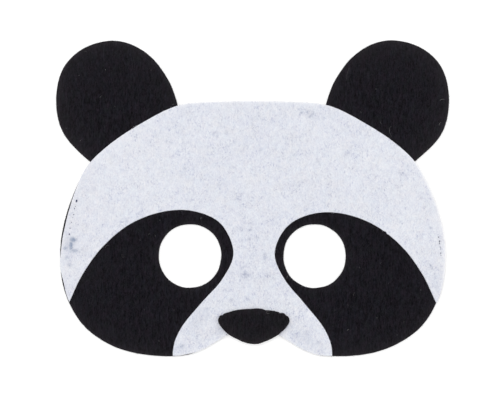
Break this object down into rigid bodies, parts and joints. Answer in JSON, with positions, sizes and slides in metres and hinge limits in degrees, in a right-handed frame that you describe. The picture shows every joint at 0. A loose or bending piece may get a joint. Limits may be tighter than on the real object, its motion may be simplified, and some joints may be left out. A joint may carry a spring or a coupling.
{
  "type": "panda mask",
  "caption": "Flat felt half mask shaped as a panda's face: a black backing with ears and eye holes, a white face sheet with open eye patches, and a black nose.",
  "frame": {"origin": "under the middle of the outline, on the surface that the mask lies on its back on", "axes": "+X to the right as the front is seen, +Y towards the ears, +Z out of the front"},
  "size_m": [0.1852, 0.149, 0.0048],
  "materials": {
    "black_felt": "matt pressed felt, fine upright grain",
    "white_felt": "matt pressed felt, cool white, mottled grey where the black shows through"
  },
  "bodies": {
    "root": {"backing_with_ears": "black_felt", "face_panel": "white_felt", "nose": "black_felt"}
  },
  "joints": []
}
